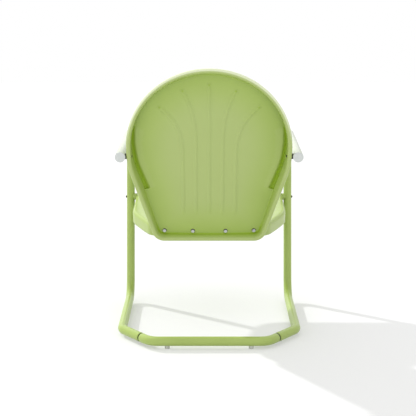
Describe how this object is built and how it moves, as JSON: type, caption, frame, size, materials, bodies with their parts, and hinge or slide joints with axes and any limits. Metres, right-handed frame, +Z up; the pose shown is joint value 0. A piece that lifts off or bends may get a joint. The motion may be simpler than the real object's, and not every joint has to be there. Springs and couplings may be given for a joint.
{
  "type": "patio chair",
  "caption": "Round-backed stamped steel patio chair with pressed ribs, tubular arms and a bent tube spring frame that lets the seat bounce.",
  "frame": {"origin": "on the floor, under the middle of the chair's box", "axes": "+Z up, +Y to the rear, so the sitter faces -Y; +X is at the sitter's left hand"},
  "size_m": [0.605, 0.6486, 0.8324],
  "materials": {
    "green_paint": "satin light green powder coat",
    "white_paint": "gloss white powder coat",
    "pale_plastic": "pale moulded plastic",
    "glide_plastic": "pale milky plastic",
    "black_rubber": "matt black",
    "dark_steel": "black oxide",
    "zinc": "bright zinc plate"
  },
  "bodies": {
    "base": {"left_side_tube": "green_paint", "right_side_tube": "green_paint", "rear_base_tube": "green_paint", "base_joint_screws": "zinc", "left_rear_glide": "glide_plastic", "left_corner_glide": "glide_plastic", "left_front_glide": "glide_plastic", "right_rear_glide": "glide_plastic", "right_corner_glide": "glide_plastic", "right_front_glide": "glide_plastic"},
    "seat_unit": {"back_shell": "green_paint", "seat_pan": "green_paint", "back_bolts": "dark_steel", "back_bolt_washers": "green_paint", "arm_weld_nuts": "zinc", "seat_side_bolts": "dark_steel", "seat_side_washers": "zinc", "seat_side_nuts": "zinc", "seat_back_bolts": "zinc", "seat_back_washers": "zinc", "seat_back_nuts": "zinc", "left_arm": "white_paint", "left_arm_end_cap": "pale_plastic", "left_back_spacer": "black_rubber", "left_seat_spacer": "green_paint", "right_arm": "white_paint", "right_arm_end_cap": "pale_plastic", "right_back_spacer": "black_rubber", "right_seat_spacer": "green_paint"}
  },
  "joints": [
    {"name": "frame_flex", "type": "hinge", "parent": "base", "child": "seat_unit", "pos_m": [0, -0.13, 0.098], "axis": [-1, 0, 0], "range_deg": [-1, 5], "stiffness_Nm_per_rad": 2500, "springref_deg": -0.27, "deforming": ["left_side_tube", "right_side_tube"]}
  ]
}
